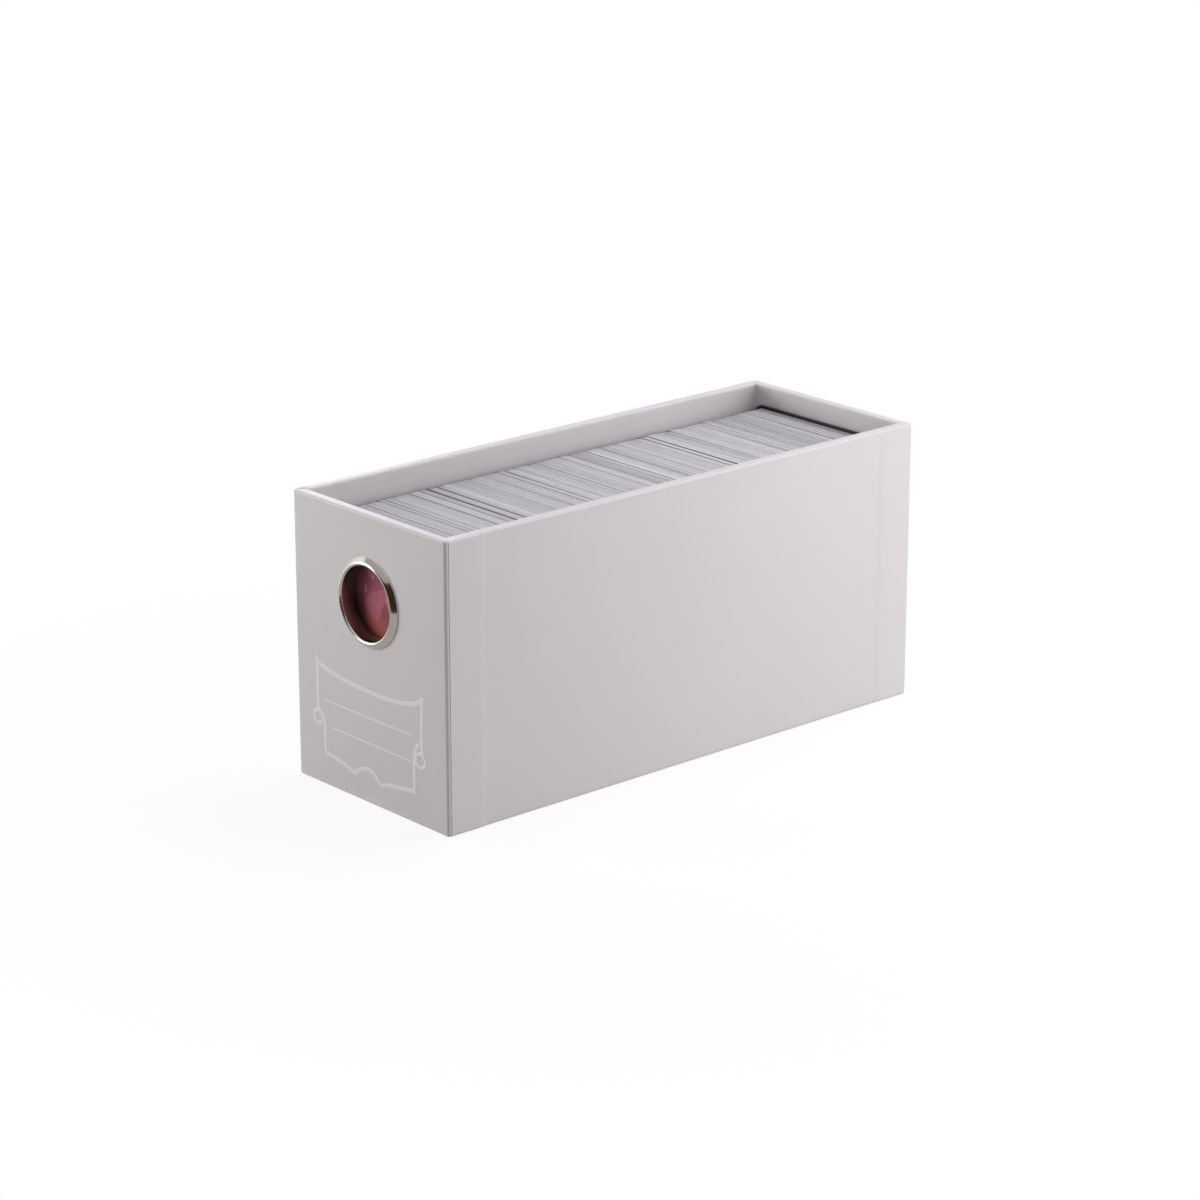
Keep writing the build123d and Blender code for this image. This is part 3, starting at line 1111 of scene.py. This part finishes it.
def build_floor():
    """A plain pale floor, seen as white except for the object's soft shadow."""
    size, shadow_end, white_start, glow_loss = 4.0, 0.16, 0.34, 0.9
    material, tree = bare_material("floor")

    def shader(kind, tone=1.0, **inputs):
        return add_node(tree, kind, {"Color": (tone, tone, tone, 1), **inputs}).outputs[0]

    clear_of_painted_shade = shader("ShaderNodeBsdfDiffuse", floor_tone)
    shown = shader("ShaderNodeBsdfDiffuse", shadow_share)
    glow = shader("ShaderNodeEmission", Strength=1 - glow_loss * shadow_share)
    white = shader("ShaderNodeEmission", Strength=1.0)
    both = add_node(tree, "ShaderNodeAddShader", {0: shown, 1: glow}).outputs[0]
    place = add_node(tree, "ShaderNodeTexCoord").outputs["Object"]
    off = add_node(tree, "ShaderNodeVectorMath", {0: place}, operation="LENGTH").outputs["Value"]
    inputs = {"Value": off, "From Min": shadow_end, "From Max": white_start}
    fade = add_node(tree, "ShaderNodeMapRange", inputs, interpolation_type="SMOOTHSTEP")
    inputs = {0: fade.outputs["Result"], 1: both, 2: white}
    near = add_node(tree, "ShaderNodeMixShader", inputs).outputs[0]
    mix = add_node(tree, "ShaderNodeMixShader", {0: seen_directly(tree), 1: clear_of_painted_shade, 2: near})
    add_node(tree, "ShaderNodeOutputMaterial", {"Surface": mix.outputs[0]})
    corners = [(-size, -size, 0), (size, -size, 0), (size, size, 0), (-size, size, 0)]
    floor = stage_mesh("floor", corners, [(0, 1, 2, 3)], material)


floor_tone = 0.5
shadow_share = 0.13
build_floor()


def build_world():
    """A white background, and a dim even light from all round."""
    world = bpy.data.worlds.new("studio")
    bpy.context.scene.world = world
    world.use_nodes = True
    tree = world.node_tree
    background = tree.nodes["Background"]
    inputs = {"Value": seen_directly(tree), "To Min": room_light, "To Max": 1.0}
    strength = add_node(tree, "ShaderNodeMapRange", inputs)
    put(tree, background.inputs["Color"], (1, 1, 1, 1))
    put(tree, background.inputs["Strength"], strength.outputs["Result"])


room_light = 0.272
build_world()


def aimed(location, target):
    """A placing that looks from location at target."""
    turn = (target - location).to_track_quat("-Z", "Y")
    return Matrix.Translation(location) @ turn.to_matrix().to_4x4()


def soft_light(name, location, target, size, power, colour):
    """A square soft box that lights the object and isn't seen itself."""
    lamp = bpy.data.lights.new(name, "AREA")
    lamp.shape = "RECTANGLE"
    lamp.size = lamp.size_y = size
    lamp.energy = power
    lamp.color = colour
    light = new_object(name, lamp)
    light.matrix_world = aimed(Vector(location), Vector(target))
    light.visible_camera = False


middle = (0, 0, 0.05)
side_back = (0.04, 0.05, 0.05)
# Each lamp's name, place, aim, size in metres, power in watts, and colour.
lamps = [
    ("light_front_left", (-0.692, -0.692, 0.258), middle, 0.45, 4.6, (1.0, 0.99, 0.985)),
    ("light_back_right", (0.692, 0.692, 0.258), middle, 0.45, 1.85, (0.99, 0.975, 0.985)),
    ("light_left", (-0.92, 0.36, 0.258), middle, 0.45, 1.9, (1.0, 0.99, 1.0)),
    ("light_top", (0.0, 0.45, 0.95), middle, 0.6, 4.3, (0.975, 0.97, 1.0)),
    ("light_near", (0.32, 0.2, 0.16), side_back, 0.3, 0.58, (0.975, 0.965, 1.0)),
]
for lamp in lamps:
    soft_light(*lamp)


def studio_card(name, start, end, profile, colour):
    """A card of the studio that only reflections see. Its profile, two points of distance and height, is
    swept about the upright line through the front's middle, between two bearings from -X towards -Y."""
    turn_step = 0.1
    material, tree = bare_material(name)
    glow = add_node(tree, "ShaderNodeEmission", {"Color": colour})
    add_node(tree, "ShaderNodeOutputMaterial", {"Surface": glow.outputs[0]})
    vertices, faces = [], []
    for bearing in evenly(math.radians(start), math.radians(end), turn_step):
        for distance, height in profile:
            x, y = -distance * math.cos(bearing), front_face - distance * math.sin(bearing)
            vertices.append((x, y, height))
    for first in range(0, len(vertices) - 2, 2):
        faces.append((first, first + 1, first + 3, first + 2))
    card = stage_mesh(name, vertices, faces, material)
    card.visible_camera = False
    card.visible_diffuse = False
    card.visible_shadow = False
    card.visible_transmission = False


innermost, near, far = 0.004, 0.25, 0.5  # distances from the front's middle
above_floor, eye_level, ceiling = 0.002, 0.41, 0.95
pale, dim, dark = (0.45, 0.43, 0.40, 1), (0.2, 0.19, 0.18, 1), (0.035, 0.026, 0.02, 1)
table = [(innermost, above_floor), (near, above_floor)]
outer_floor = [(near, above_floor), (far, above_floor)]
wall = [(far, above_floor), (far, eye_level)]
upper = [(far, eye_level), (far, ceiling)]
studio_card("card_table", 0, 180, table, pale)
studio_card("card_dim_floor", 52, 72, outer_floor, dim)
studio_card("card_dim_wall", 52, 72, wall, dim)
studio_card("card_dark_floor", 72, 172, outer_floor, dark)
studio_card("card_dark_wall", 72, 172, wall, dark)
studio_card("card_upper", 0, 172, upper, pale)


def build_camera():
    """The photograph's view: long lens, from the front right and a little above."""
    azimuth, elevation, distance = math.radians(48.548), math.radians(18.191), 1.29853
    target = Vector((0.0, -0.00534, 0.04951))
    flat = math.cos(elevation)
    back = Vector((math.sin(azimuth) * flat, -math.cos(azimuth) * flat, math.sin(elevation)))
    camera = bpy.data.cameras.new("camera")
    camera.sensor_width = 36.0
    camera.lens = 114.12
    eye = new_object("camera", camera)
    eye.matrix_world = aimed(target + back * distance, target)
    bpy.context.scene.camera = eye


build_camera()
bpy.context.scene.view_settings.view_transform = "Standard"

bpy.context.view_layer.update()
